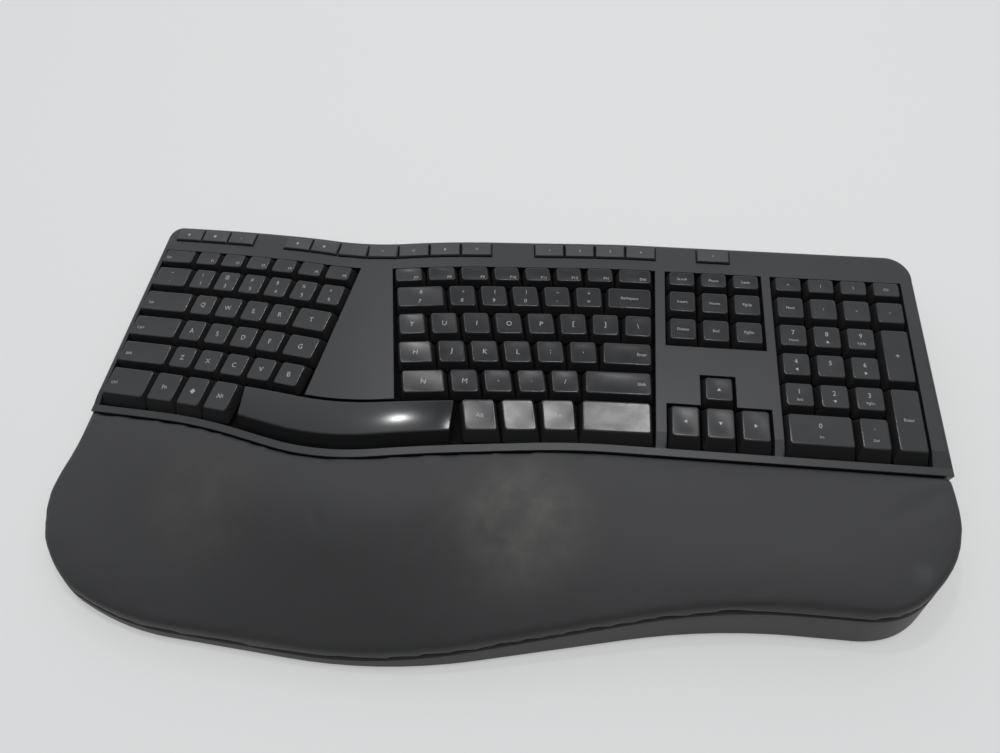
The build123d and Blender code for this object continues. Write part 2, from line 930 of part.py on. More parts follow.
def on_outline(edge):
    """True for an edge of the roof that runs along the back or a side of the body."""
    spot = edge.position_at(1 / 2)
    behind_lip = spot.Y > seam.at(spot.X) + lip_width + lip_slope
    at_roof = abs(spot.Z - deck.at(spot.X) + roof_drop) < soft_gap
    return behind_lip and at_roof and not outline_core.is_inside(spot)


with BuildPart() as top_cover:
    add(case_space(0, 0))
    fillet(top_cover.edges().filter_by(on_outline), case_edge_radius)
    add(case_space(wall, roof_thickness), mode=Mode.SUBTRACT)
    add(well_walls.part)
    add(case_bosses.part)
    add(standing(well_plan(0)), mode=Mode.SUBTRACT)
    add(hot_slots.part, mode=Mode.SUBTRACT)
    add(layer(parting, 0, ground, 0), mode=Mode.SUBTRACT)
    with BuildSketch(Plane.XY):
        with Locations(*case_screw_points):
            Circle(screw_radius + seat_gap)
    extrude(amount=screw_seat + screw_length + seat_gap, mode=Mode.SUBTRACT)
    with BuildSketch(inlet_plane.offset(-wall)):
        Circle(inlet_radius + seat_gap)
    extrude(amount=wall, both=True, mode=Mode.SUBTRACT)
keep(top_cover.part, "top_cover")


# Guide frames: plates under the wells with a square guide for every stem
guide_planes = [key.plane for keys in places.values() for key in keys] + space_guides


with BuildPart() as frame_hollow:
    add(standing(well_plan(-well_wall)))
    add(layer(deck, guide_under, deck, plate_under), mode=Mode.INTERSECT)


def guide_frame(name, left_x, right_x):
    """Plate over one block of keys, with a rim that holds it off the membrane."""
    planes = [plane for plane in guide_planes if left_x < plane.origin.X < right_x]
    with BuildPart() as frame:
        add(standing(well_plan(guide_flange)))
        add(layer(deck, guide_top, deck, sheet_top - seat_gap), mode=Mode.INTERSECT)
        add(frame_hollow.part, mode=Mode.SUBTRACT)
        add(body_block(wall + seat_gap), mode=Mode.INTERSECT)
        add(slice_between(left_x, right_x), mode=Mode.INTERSECT)
        height = guide_rise + guide_thickness / 2
        with Locations(*[plane.offset(guide_rise - guide_top) for plane in planes]):
            Box(guide_collar, guide_collar, height, align=(Align.CENTER, Align.CENTER, Align.MAX))
        with Locations(*[plane.offset(-guide_top) for plane in planes]):
            Box(guide_bore, guide_bore, 2 * (guide_rise + guide_thickness), mode=Mode.SUBTRACT)
    keep(frame.part, name)


pad_split_x = nav_column_x - cap_half - well_wall - well_wall
guide_frame("key_frame_left", -side_x, frame_split_x - seat_gap)
guide_frame("key_frame_right", frame_split_x + seat_gap, pad_split_x)
guide_frame("key_frame_pads", pad_split_x, side_x)

# Rubber domes, drawn as the pressed stem leaves them
dome_spots = []
for plane in guide_planes:
    slope = deck.slope(plane.origin.X)
    spot = Plane(
        origin=plane.origin - Vector(0, 0, sheet_top - seat_gap),
        x_dir=(1, 0, slope),
        z_dir=(-slope, 0, 1),
    )
    dome_spots.append(spot)
with BuildPart() as dome:
    Cone(dome_radius, dome_top_radius, dome_height, align=(Align.CENTER, Align.CENTER, Align.MIN))
domes = [dome.part.solid().moved(Location(spot)) for spot in dome_spots]
keep(Compound(domes), "rubber_domes")

# Membrane and its backing plate: sheets bent to the deck under all wells
sheet_right_x = pad_last_x + cap_half + guide_flange
with BuildSketch() as sheet_plan:
    add(
        plan_band(
            sheet_left_x,
            sheet_right_x,
            seam,
            lip_width - guide_flange,
            row_line,
            well_back_offset + guide_flange,
        )
    )

with BuildPart() as membrane_sheet:
    add(standing(sheet_plan.sketch))
    add(layer(deck, sheet_top, deck, sheet_under), mode=Mode.INTERSECT)
    add(body_block(wall + seat_gap), mode=Mode.INTERSECT)
keep(membrane_sheet.part, "membrane_sheet")

with BuildPart() as backing_plate:
    add(standing(sheet_plan.sketch))
    add(layer(deck, plate_top, deck, plate_under), mode=Mode.INTERSECT)
    add(body_block(wall + seat_gap), mode=Mode.INTERSECT)
keep(backing_plate.part, "backing_plate")

# Flexible switch strip under the hot keys
with BuildPart() as hot_key_strip:
    with BuildSketch(Plane.XY):
        add(
            plan_band(
                hot_strip_left_x,
                hot_strip_right_x,
                row_line,
                hot_strip_front,
                row_line,
                hot_strip_back,
            )
        )
    extrude(amount=outline_top)
    add(layer(deck, hot_strip_top, deck, hot_strip_under), mode=Mode.INTERSECT)
    add(body_block(wall + soft_gap), mode=Mode.INTERSECT)
    with BuildSketch(Plane.XY):
        with Locations(*case_screw_points):
            Circle(boss_radius + soft_gap)
    extrude(amount=outline_top, mode=Mode.SUBTRACT)
    with Locations(*[key.sunk(hot_switch_top) for key in hot_places]):
        switch_height = hot_switch_height + hot_strip_thickness / 2
        Box(
            hot_switch_width,
            hot_switch_width,
            switch_height,
            align=(Align.CENTER, Align.CENTER, Align.MAX),
        )
keep(hot_key_strip.part, "hot_key_strip")

# Cable inlet bush: a spool shape that clips into the back wall
bush_inner = wall + 2 * seat_gap + inlet_flange_thickness
with BuildPart() as cable_bush:
    with BuildSketch(inlet_plane.offset(inlet_flange_thickness - inlet_length)):
        Circle(inlet_radius)
        Circle(inlet_bore_radius, mode=Mode.SUBTRACT)
    extrude(amount=inlet_length)
    with BuildSketch(inlet_plane.offset(seat_gap), inlet_plane.offset(-bush_inner + seat_gap)):
        Circle(inlet_flange_radius)
        Circle(inlet_bore_radius, mode=Mode.SUBTRACT)
    extrude(amount=inlet_flange_thickness - seat_gap)
keep(cable_bush.part, "cable_bush")

# Tilt legs under the palm rest, each with a rubber tip on its free end
legs = [("left", -leg_x, leg_left_y), ("right", leg_x, leg_right_y)]
leg_level = foot_height + leg_lift + leg_thickness / 2
leg_pocket_plan = (leg_width + 2 * leg_gap, leg_length + leg_tip_thickness + 2 * leg_gap)


def leg_solid(x, y):
    """Flat leg, rounded at its hinge end, with a pin at each side."""
    with BuildPart() as leg:
        with BuildSketch(Plane.YZ.offset(x - leg_width / 2)):
            with BuildLine():
                hinge_y = y + leg_thickness / 2
                low = leg_level - leg_thickness / 2
                high = leg_level + leg_thickness / 2
                ThreePointArc((hinge_y, high), (y, leg_level), (hinge_y, low))
                Polyline((hinge_y, low), (y + leg_length, low), (y + leg_length, high), (hinge_y, high))
            make_face()
        extrude(amount=leg_width)
        with BuildSketch(Plane.YZ.offset(x - leg_width / 2 - leg_pin_length)):
            with Locations((hinge_y, leg_level)):
                Circle(leg_pin_radius)
        extrude(amount=leg_width + 2 * leg_pin_length)
        with Locations((x, y + leg_length / 2, leg_level)):
            Box(leg_width / 2, leg_length / 3, 2 * leg_thickness, mode=Mode.SUBTRACT)
    return leg.part


def leg_tip_solid(x, y):
    with BuildPart() as tip:
        with Locations((x, y + leg_length, leg_level - leg_thickness / 2)):
            Box(
                leg_tip_width,
                leg_tip_thickness,
                leg_thickness,
                align=(Align.CENTER, Align.MIN, Align.MIN),
            )
        fillet(tip.edges().filter_by(Axis.X).group_by(Axis.Y)[-1], leg_tip_thickness / 2)
    return tip.part


for side, x, y in legs:
    keep(leg_solid(x, y), f"tilt_leg_{side}")
    keep(leg_tip_solid(x, y), f"leg_tip_{side}")

# Controller board on four posts
with BuildPart() as controller_board:
    with Locations((board_x, board_y, board_level)):
        Box(
            board_length,
            board_width,
            board_thickness,
            align=(Align.CENTER, Align.CENTER, Align.MIN),
        )
    with Locations((board_x, board_y, board_level + board_thickness)):
        Box(chip_size, chip_size, chip_height, align=(Align.CENTER, Align.CENTER, Align.MIN))
keep(controller_board.part, "controller_board")

# Rubber feet in shallow recesses of the floor
with BuildPart() as rubber_feet:
    with BuildSketch(Plane.XY):
        with Locations(*foot_spots):
            SlotOverall(foot_length, foot_width)
    extrude(amount=foot_height + foot_recess)
keep(rubber_feet.part, "rubber_feet")

# Case screws
with BuildPart() as case_screws:
    with BuildSketch(Plane.XY.offset(screw_seat - screw_head_height)):
        with Locations(*screw_spots):
            Circle(screw_head_radius)
    extrude(amount=screw_head_height)
    with BuildSketch(Plane.XY.offset(screw_seat)):
        with Locations(*screw_spots):
            Circle(screw_radius)
    extrude(amount=screw_length)
keep(case_screws.part, "case_screws")

# Lower housing: floor, rim, ribs under the backing plate, pillars, leg pockets, board posts
rib_step = (rib_last_x - rib_first_x) / (rib_count - 1)
back_zone = well_back_offset + well_wall + seat_gap
rib_plan = plan_band(
    -side_x, side_x, row_line, cross_rib_offset, row_line, cross_rib_offset + rib_thickness
)
with BuildPart() as ribs:
    with Locations(*[(rib_first_x + rib_step * index, 0) for index in range(rib_count)]):
        Box(rib_thickness, 2 * side_y, 2 * outline_top)
    add(standing(rib_plan))
    add(layer(deck, plate_under + seat_gap, ground, 0), mode=Mode.INTERSECT)
    add(plan_block(seam, wall + seat_gap, 1), mode=Mode.INTERSECT)
    add(plan_block(row_line, back_zone, -1), mode=Mode.INTERSECT)
    add(body_block(wall + seat_gap), mode=Mode.INTERSECT)

with BuildPart() as back_ribs:
    with Locations(*[(rib_first_x + rib_step * index, 0) for index in range(rib_count)]):
        Box(rib_thickness, 2 * side_y, 2 * outline_top)
    add(layer(deck, hot_strip_under + seat_gap, ground, 0), mode=Mode.INTERSECT)
    add(plan_block(row_line, back_zone, 1), mode=Mode.INTERSECT)
    add(body_block(wall + seat_gap), mode=Mode.INTERSECT)

with BuildPart() as tray_space:
    add(body_block(wall))
    with Locations((0, 0, floor_top)):
        Box(
            2 * side_x,
            2 * side_y,
            outline_top,
            align=(Align.CENTER, Align.CENTER, Align.MIN),
            mode=Mode.INTERSECT,
        )

board_posts = [
    (board_x + sign_x * (board_length / 2 - post_inset), board_y + sign_y * (board_width / 2 - post_inset))
    for sign_x in (-1, 1)
    for sign_y in (-1, 1)
]
leg_middles = [(x, y - leg_gap + leg_pocket_plan[1] / 2) for side, x, y in legs]
pocket_roof = foot_height + leg_lift + leg_thickness + leg_gap

with BuildPart() as bottom_cover:
    add(body_block(0))
    add(layer(parting, seat_gap, ground, 0), mode=Mode.INTERSECT)
    add(tray_space.part, mode=Mode.SUBTRACT)
    add(ribs.part)
    add(back_ribs.part)
    with BuildSketch(Plane.XY.offset(foot_height)):
        with Locations(*screw_spots):
            Circle(pillar_radius)
    extrude(amount=pillar_top - foot_height)
    with BuildSketch(Plane.XY.offset(foot_height)):
        with Locations(*board_posts):
            Circle(post_radius)
    extrude(amount=board_level - foot_height)
    with BuildSketch(Plane.XY.offset(foot_height)):
        with Locations(*leg_middles):
            Rectangle(
                leg_pocket_plan[0] + 2 * leg_pocket_wall,
                leg_pocket_plan[1] + 2 * leg_pocket_wall,
            )
    extrude(amount=pocket_roof + rib_thickness - foot_height)
    with BuildSketch(Plane.XY):
        with Locations(*leg_middles):
            Rectangle(*leg_pocket_plan)
    extrude(amount=pocket_roof, mode=Mode.SUBTRACT)
    for side, x, y in legs:
        pin_room = leg_pin_length + leg_pin_play
        with BuildSketch(Plane.YZ.offset(x - leg_width / 2 - pin_room)):
            with Locations((y + leg_thickness / 2, leg_level)):
                Circle(leg_pin_radius + leg_pin_play)
        extrude(amount=leg_width + 2 * pin_room, mode=Mode.SUBTRACT)
    with BuildSketch(Plane.XY):
        with Locations(*foot_spots):
            SlotOverall(foot_length, foot_width)
    extrude(amount=foot_height + foot_recess, mode=Mode.SUBTRACT)
    with BuildSketch(Plane.XY):
        with Locations(*screw_spots):
            Circle(screw_head_radius + screw_play)
    extrude(amount=screw_seat, mode=Mode.SUBTRACT)
    with BuildSketch(Plane.XY):
        with Locations(*screw_spots):
            Circle(screw_radius + screw_play)
    extrude(amount=pillar_top, mode=Mode.SUBTRACT)
keep(bottom_cover.part, "bottom_cover")

# Palm rest: rigid carrier with a flange along the parting line, and the soft pad over it
with BuildPart() as carrier_flange_plate:
    add(body_block(0))
    add(layer(parting, -carrier_flange, parting, 0), mode=Mode.INTERSECT)
    add(plan_block(seam, -seat_gap, -1), mode=Mode.INTERSECT)

with BuildPart() as palm_bosses:
    with BuildSketch(Plane.XY.offset(pillar_top + seat_gap)):
        with Locations(*palm_screw_points):
            Circle(boss_radius)
    extrude(amount=outline_top)
    add(palm_block(pad_thickness + carrier_thickness / 2), mode=Mode.INTERSECT)

carrier_inner = pad_wrap + carrier_thickness
with BuildPart() as palm_rest_carrier:
    add(palm_space(pad_wrap, pad_thickness, seat_gap))
    add(carrier_flange_plate.part)
    add(
        palm_space(carrier_inner, pad_thickness + carrier_thickness, seat_gap + carrier_thickness),
        mode=Mode.SUBTRACT,
    )
    add(layer(parting, 0, ground, 0), mode=Mode.SUBTRACT)
    add(palm_bosses.part)
    with BuildSketch(Plane.XY):
        with Locations(*palm_screw_points):
            Circle(screw_radius + seat_gap)
    extrude(amount=screw_seat + screw_length + seat_gap, mode=Mode.SUBTRACT)
keep(palm_rest_carrier.part, "palm_rest_carrier")


def off_seam(edge):
    """True for an edge of the palm surface that doesn't lie along the seam."""
    spot = edge.position_at(1 / 2)
    return spot.Y < seam.at(spot.X) - wall


with BuildPart() as palm_rest_pad:
    add(palm_space(0, 0, soft_gap))
    add(layer(parting, -carrier_flange - soft_gap, ground, 0), mode=Mode.SUBTRACT)
    palm_face = palm_rest_pad.faces().sort_by(SortBy.AREA)[-1]
    fillet(palm_face.edges().filter_by(off_seam), pad_edge_radius)
    add(
        palm_space(pad_wrap - soft_gap, pad_thickness - soft_gap, -palm_over),
        mode=Mode.SUBTRACT,
    )
keep(palm_rest_pad.part, "palm_rest_pad")
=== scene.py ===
# %% [markdown]
# This notebook dresses an ergonomic split keyboard. The imported model already gives every piece
# its true size and place, so the work here is the looks: rounded and dished key caps, printed
# legends, the soft palm rest and the finishes. The first cell loads the model.

import bpy
import bmesh
import math
from mathutils import Matrix, Vector


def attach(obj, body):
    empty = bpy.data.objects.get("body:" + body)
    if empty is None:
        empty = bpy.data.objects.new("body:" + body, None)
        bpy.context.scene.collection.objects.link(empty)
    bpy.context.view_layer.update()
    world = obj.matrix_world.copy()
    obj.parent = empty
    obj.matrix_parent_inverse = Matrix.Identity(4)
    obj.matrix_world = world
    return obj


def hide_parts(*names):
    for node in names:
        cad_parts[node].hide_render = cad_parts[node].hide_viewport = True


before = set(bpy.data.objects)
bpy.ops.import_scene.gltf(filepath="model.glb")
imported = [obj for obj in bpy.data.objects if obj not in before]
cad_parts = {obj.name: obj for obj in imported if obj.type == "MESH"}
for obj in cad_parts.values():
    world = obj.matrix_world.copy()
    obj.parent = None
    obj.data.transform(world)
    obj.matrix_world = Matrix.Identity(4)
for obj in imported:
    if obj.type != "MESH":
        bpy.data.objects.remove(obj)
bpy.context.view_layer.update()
scene = bpy.context.scene
MM = 0.001
merge_distance = 0.01
flat_angle = 0.5
facing_up_share = 0.8

# %% [markdown]
# Everything later selects by place or by normal, so a few small helpers come first: one clears
# the selection, one makes an object active and enters edit mode, and one copies a model node into
# a mesh of its own. A node arrives as loose triangles, so the copy is merged and its flat areas
# are dissolved back into single faces before anything is shaped.

# %% Helpers for selecting and copying


def clear_selection():
    for other in bpy.context.selected_objects:
        other.select_set(False)


def activate(piece):
    clear_selection()
    piece.select_set(True)
    bpy.context.view_layer.objects.active = piece


def edit(piece):
    activate(piece)
    bpy.ops.object.mode_set(mode="EDIT")
    bpy.ops.mesh.select_all(action="DESELECT")


def done():
    bpy.ops.object.mode_set(mode="OBJECT")


def select_faces(piece, test):
    """Select the faces for which test(face) holds, in edit mode."""
    mesh = bmesh.from_edit_mesh(piece.data)
    bpy.ops.mesh.select_mode(type="FACE")
    for face in mesh.faces:
        face.select_set(False)
    for face in mesh.faces:
        if test(face):
            face.select_set(True)
    mesh.select_flush_mode()
    bmesh.update_edit_mesh(piece.data)


def copy_node(node, name):
    """Copy a model node's mesh into a new piece with whole flat faces."""
    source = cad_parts[node]
    piece = bpy.data.objects.new(name, source.data.copy())
    bpy.context.collection.objects.link(piece)
    piece.data.materials.clear()
    edit(piece)
    bpy.ops.mesh.select_all(action="SELECT")
    bpy.ops.mesh.remove_doubles(threshold=merge_distance * MM)
    bpy.ops.mesh.dissolve_limited(angle_limit=math.radians(flat_angle))
    bpy.ops.mesh.customdata_custom_splitnormals_clear()
    done()
    return piece


def apply(piece, kind, **settings):
    """Add one modifier with its settings and apply it."""
    activate(piece)
    modifier = piece.modifiers.new(kind.title(), kind)
    for key, value in settings.items():
        setattr(modifier, key, value)
    bpy.ops.object.modifier_apply(modifier=modifier.name)


def smooth(piece, degrees):
    activate(piece)
    bpy.ops.object.shade_smooth_by_angle(angle=math.radians(degrees))


print("helpers ready")

# %% [markdown]
# The camera stands where the photographer's stood: a little in front of the keyboard, about
# forty centimetres above the desk and tipped down by some sixty degrees. Its place and turn were
# worked out from the corners of the number pad keys. The floor is a plain pale desk. It shows as
# white to the camera and in reflections, but it still catches the keyboard's shadow.

# %% Camera
camera_data = bpy.data.cameras.new("camera")
camera = bpy.data.objects.new("camera", camera_data)
bpy.context.collection.objects.link(camera)
sensor_width = 36
focal_length = 25.83
camera_data.sensor_width = sensor_width
camera_data.lens = focal_length
camera_right = Vector((0.9952, 0.0904, -0.0376))
camera_up = Vector((-0.0639, 0.8909, 0.4496))
camera_back = Vector((0.0742, -0.445, 0.8924))
camera_place = Vector((34.97, -159.2, 403.57)) * MM
turn = Matrix((camera_right, camera_up, camera_back)).transposed().to_4x4()
camera.matrix_world = Matrix.Translation(camera_place) @ turn
scene.camera = camera
print("camera at", tuple(round(value, 3) for value in camera_place))

# %% [markdown]
# The studio is a ceiling with two lamps behind the keyboard: a small one on the left, which the
# space bar mirrors, and a wider one on the right. The world round them is grey, brightest high at
# the back and darker low down, with a dim part of the ceiling over the middle. The lamps are kept
# low enough for a colour to render about as it is written.

# %% Floor and lamps
desk_size = 6
lamp_height = 1.4
aim_height = 0.03
bpy.ops.mesh.primitive_plane_add(size=desk_size, location=(0, 0, 0))
floor = bpy.context.object
floor.name = "desk_floor"


def add_lamp(name, place, target, width, depth, power):
    """Add a flat lamp over one place on the plan that shines at another."""
    data = bpy.data.lights.new(name, "AREA")
    data.shape = "RECTANGLE"
    data.size = width
    data.size_y = depth
    data.energy = power
    lamp = bpy.data.objects.new(name, data)
    bpy.context.collection.objects.link(lamp)
    start = Vector((*place, lamp_height))
    way = Vector((*target, aim_height)) - start
    turned = way.to_track_quat("-Z", "Y").to_matrix().to_4x4()
    lamp.matrix_world = Matrix.Translation(start) @ turned


def sky_share(way, low, high, at_low, at_high, curve):
    """Number that goes from one value to another as the view turns towards a direction."""
    turned = sky.nodes.new("ShaderNodeVectorMath")
    turned.operation = "DOT_PRODUCT"
    turned.inputs[1].default_value = way
    sky.links.new(look.outputs["Generated"], turned.inputs[0])
    ramp = sky.nodes.new("ShaderNodeMapRange")
    ramp.interpolation_type = curve
    ramp.inputs["From Min"].default_value = low
    ramp.inputs["From Max"].default_value = high
    ramp.inputs["To Min"].default_value = at_low
    ramp.inputs["To Max"].default_value = at_high
    sky.links.new(turned.outputs["Value"], ramp.inputs["Value"])
    return ramp.outputs["Result"]


add_lamp("left_ceiling_lamp", (-0.34, 0.55), (-0.05, 0.0), 0.06, 0.05, 2.0)
add_lamp("right_ceiling_lamp", (0.3, 0.36), (0.05, 0.0), 0.3, 0.16, 3.4)
sky_color = (0.93, 0.95, 1.0, 1)
bright_way = (-0.1, 0.7, 0.7)
dim_way = (0.05, 0.47, 0.88)
world = bpy.data.worlds.new("studio")
scene.world = world
world.use_nodes = True
sky = world.node_tree
look = sky.nodes.new("ShaderNodeTexCoord")
sky_light = sky_share(bright_way, 0.1, 1.0, 0.12, 1.1, "LINEAR")
sky_shade = sky_share(dim_way, 0.95, 0.99, 1.0, 0.25, "SMOOTHSTEP")
dimmed = sky.nodes.new("ShaderNodeMath")
dimmed.operation = "MULTIPLY"
sky.links.new(sky_light, dimmed.inputs[0])
sky.links.new(sky_shade, dimmed.inputs[1])
sky.links.new(dimmed.outputs["Value"], sky.nodes["Background"].inputs["Strength"])
sky.nodes["Background"].inputs["Color"].default_value = sky_color
scene.view_settings.view_transform = "Standard"

# %% [markdown]
# Finishes are built from nodes, and most of that is arithmetic on masks. A small class wraps a
# node's output, so that a mask times a number plus another mask is written just like that, and
# each sign adds its Math node. Every other node is made by one method, which takes the kind of
# node, its settings and what goes into its sockets.

# %% A small language for finishes


class Mask:
    """A number that changes over the surface."""

    def __init__(self, finish, socket):
        self.finish = finish
        self.socket = socket

    def math(self, operation, first, second):
        made = self.finish.node("ShaderNodeMath", {"operation": operation}, {0: first, 1: second})
        return Mask(self.finish, made.outputs[0])

    def __add__(self, other):
        return self.math("ADD", self, other)

    def __radd__(self, other):
        return self.math("ADD", other, self)

    def __sub__(self, other):
        return self.math("SUBTRACT", self, other)

    def __rsub__(self, other):
        return self.math("SUBTRACT", other, self)

    def __mul__(self, other):
        return self.math("MULTIPLY", self, other)


class Finish:
    """One material with its shader and the nodes that feed it."""

    def __init__(self, name, color, roughness, **sockets):
        self.material = bpy.data.materials.new(name)
        self.material.use_nodes = True
        self.tree = self.material.node_tree
        self.shader = self.tree.nodes["Principled BSDF"]
        self.place = self.node("ShaderNodeTexCoord").outputs["Object"]
        self.set("Base Color", (*color, 1))
        self.set("Roughness", roughness)
        for socket, value in sockets.items():
            self.set(socket.replace("_", " "), value)

    def node(self, kind, settings=None, inputs=None):
        made = self.tree.nodes.new(kind)
        for key, value in (settings or {}).items():
            if key == "stops":
                ramp = made.color_ramp
                while len(ramp.elements) < len(value):
                    ramp.elements.new(0.5)
                for element, (position, shade) in zip(ramp.elements, value):
                    element.position = position
                    element.color = (shade, shade, shade, 1)
            else:
                setattr(made, key, value)
        for key, value in (inputs or {}).items():
            value = value.socket if isinstance(value, Mask) else value
            if isinstance(value, bpy.types.NodeSocket):
                self.tree.links.new(value, made.inputs[key])
            else:
                made.inputs[key].default_value = value
        return made

    def set(self, socket, value):
        value = value.socket if isinstance(value, Mask) else value
        if isinstance(value, bpy.types.NodeSocket):
            self.tree.links.new(value, self.shader.inputs[socket])
        else:
            self.shader.inputs[socket].default_value = value

    def noise(self, size, detail=3, roughness=0.5, stops=None):
        """Cloudy mask whose blots are about the given size in millimetres."""
        scale = 1 / (size * MM)
        made = self.node(
            "ShaderNodeTexNoise",
            None,
            {"Vector": self.place, "Scale": scale, "Detail": detail, "Roughness": roughness},
        )
        mask = Mask(self, made.outputs["Fac"])
        return self.ramp(mask, stops) if stops else mask

    def cells(self, size, feature="F1", stops=None):
        """Mask of small cells of the given size in millimetres, darkest at their middles."""
        scale = 1 / (size * MM)
        made = self.node(
            "ShaderNodeTexVoronoi", {"feature": feature}, {"Vector": self.place, "Scale": scale}
        )
        mask = Mask(self, made.outputs["Distance"])
        return self.ramp(mask, stops) if stops else mask

    def ramp(self, mask, stops):
        made = self.node("ShaderNodeValToRGB", {"stops": stops}, {"Fac": mask})
        return Mask(self, made.outputs["Color"])

    def spot(self, centre, radius, reach):
        """Mask that is 1 inside a ball round a place in millimetres, and fades outside it."""
        made = self.node(
            "ShaderNodeVectorMath",
            {"operation": "DISTANCE"},
            {0: self.place, 1: [value * MM for value in centre]},
        )
        distance = Mask(self, made.outputs["Value"])
        fade = self.node(
            "ShaderNodeMapRange",
            {"interpolation_type": "SMOOTHSTEP"},
            {
                "Value": distance,
                "From Min": radius * MM,
                "From Max": (radius + reach) * MM,
                "To Min": 1.0,
                "To Max": 0.0,
            },
        )
        return Mask(self, fade.outputs["Result"])

    def mix(self, mask, first, second):
        """Colour that goes from the first to the second as the mask rises."""
        made = self.node("ShaderNodeMix", {"data_type": "RGBA"}, {0: mask, 6: first, 7: second})
        return made.outputs[2]

    def bump(self, mask, height, strength=1.0):
        """Raise the surface by the mask, up to a height in millimetres."""
        made = self.node(
            "ShaderNodeBump", None, {"Height": mask, "Distance": height * MM, "Strength": strength}
        )
        self.set("Normal", made.outputs["Normal"])

    def on(self, *pieces):
        for piece in pieces:
            piece.data.materials.clear()
            piece.data.materials.append(self.material)


print("finishes can be written")

# %% [markdown]
# The desk is a plain pale surface. Rays from the camera, and rays that mirror or pass through
# something, see it as pure light; all others see a white diffuse board that takes shadows.

# %% Desk finish
desk = Finish("pale_desk", (0.82, 0.82, 0.81), 0.9)
light_path = desk.node("ShaderNodeLightPath")
seen = Mask(desk, light_path.outputs["Is Camera Ray"]) + light_path.outputs["Is Glossy Ray"]
seen = seen + light_path.outputs["Is Transmission Ray"]
glow = desk.node("ShaderNodeEmission", None, {"Color": (0.93, 0.93, 0.92, 1), "Strength": 1.0})
glow_share = 0.35
blend = desk.node(
    "ShaderNodeMixShader",
    None,
    {0: seen * glow_share, 1: desk.shader.outputs[0], 2: glow.outputs[0]},
)
output = desk.tree.nodes["Material Output"]
desk.tree.links.new(blend.outputs[0], output.inputs["Surface"])
desk.on(floor)
print("desk ready")

# %% [markdown]
# Each cap comes from its model node, which has the true outline, hollow and stem, but a flat top
# with hard edges. A moulded cap has a shallow dish for the fingertip and edges rounded to about
# half a millimetre. The top is inset by a narrow rim, what lies inside is cut into a grid by
# planes, and the grid is pressed down along a smooth curve. Then the edge round the top and the
# corners that run down from it are bevelled. Before that, the centre, tilt and size of each top
# are noted, because the legends are placed by them. The thumb keys on the right lean forwards.

# %% Measure the tops of the caps
key_nodes = [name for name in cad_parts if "key" in name and "frame" not in name]
key_nodes = sorted(name for name in key_nodes if name != "hot_key_strip")
hot_nodes = [name for name in key_nodes if name.startswith("hot")]
cap_nodes = [name for name in key_nodes if name not in hot_nodes]
smallest_top = 20 * MM * MM
tops = {}


def note_tops(piece, node):
    """Note each upward face of the copied caps, from left to right."""
    found = []
    for face in piece.data.polygons:
        if face.normal.z < facing_up_share or face.area < smallest_top:
            continue
        points = [piece.data.vertices[index].co for index in face.vertices]
        normal = face.normal.copy()
        along = Vector((normal.z, 0, -normal.x)).normalized()
        up = normal.cross(along)
        spread_x = [point.dot(along) for point in points]
        spread_y = [point.dot(up) for point in points]
        middle_x = (max(spread_x) + min(spread_x)) / 2
        middle_y = (max(spread_y) + min(spread_y)) / 2
        centre = along * middle_x + up * middle_y + normal * points[0].dot(normal)
        size = (max(spread_x) - min(spread_x), max(spread_y) - min(spread_y))
        found.append((centre, along, up, normal, size))
    tops[node] = sorted(found, key=lambda top: top[0].x)


# %% Shape the caps
top_rim = 0.9
edge_radius = 0.6
edge_segments = 3
dish_depth = 0.26
dish_cuts = 6
corner_drop = 2
thumb_key_lean = 4
smooth_angle = 40


def select_rim(piece, high=facing_up_share):
    """Select the edge round each top and the corner edges that run down from it."""
    mesh = bmesh.from_edit_mesh(piece.data)
    bpy.ops.mesh.select_mode(type="EDGE")
    bpy.ops.mesh.select_all(action="DESELECT")
    rim = []
    for edge in mesh.edges:
        slopes = sorted(face.normal.z for face in edge.link_faces)
        if len(slopes) == 2 and slopes[0] < high < slopes[1]:
            rim.append(edge)
    corners = {vertex for edge in rim for vertex in edge.verts}
    for vertex in corners:
        for edge in vertex.link_edges:
            drop = vertex.co.z - edge.other_vert(vertex).co.z
            if drop > corner_drop * MM:
                edge.select_set(True)
    for edge in rim:
        edge.select_set(True)
    bmesh.update_edit_mesh(piece.data)


def press_dish(piece, top):
    """Cut the inside of one top into a grid and press it down towards its middle."""
    centre, along, up, normal, size = top
    halves = [length / 2 - top_rim * MM for length in size]

    def shares(point):
        way = point - centre
        return way.dot(along) / halves[0], way.dot(up) / halves[1]

    def inside(face):
        across, back = shares(face.calc_center_median())
        return face.normal.z > facing_up_share and abs(across) < 1 and abs(back) < 1

    for direction, half in zip((along, up), halves):
        for step in range(1, dish_cuts):
            select_faces(piece, inside)
            spot = centre + direction * half * (2 * step / dish_cuts - 1)
            bpy.ops.mesh.bisect(plane_co=spot, plane_no=direction)
    mesh = bmesh.from_edit_mesh(piece.data)
    mesh.normal_update()
    moves = {}
    for vertex in mesh.verts:
        across, back = shares(vertex.co)
        if abs(across) < 1 and abs(back) < 1 and all(inside(face) for face in vertex.link_faces):
            moves[vertex] = normal * dish_depth * MM * (1 - across**2) * (1 - back**2)
    for vertex, move in moves.items():
        vertex.co -= move
    bmesh.update_edit_mesh(piece.data)


def lean_tops(piece, node, lean):
    """Lower the front edge of each top and lift its back edge, by an angle in degrees."""
    mesh = bmesh.from_edit_mesh(piece.data)
    for face in mesh.faces:
        if face.normal.z < facing_up_share:
            continue
        middle = face.calc_center_median()
        top = min(tops[node], key=lambda other: (other[0] - middle).length)
        for vertex in face.verts:
            back = (vertex.co - top[0]).dot(top[2])
            vertex.co += top[3] * back * math.tan(math.radians(lean))
    bmesh.update_edit_mesh(piece.data)


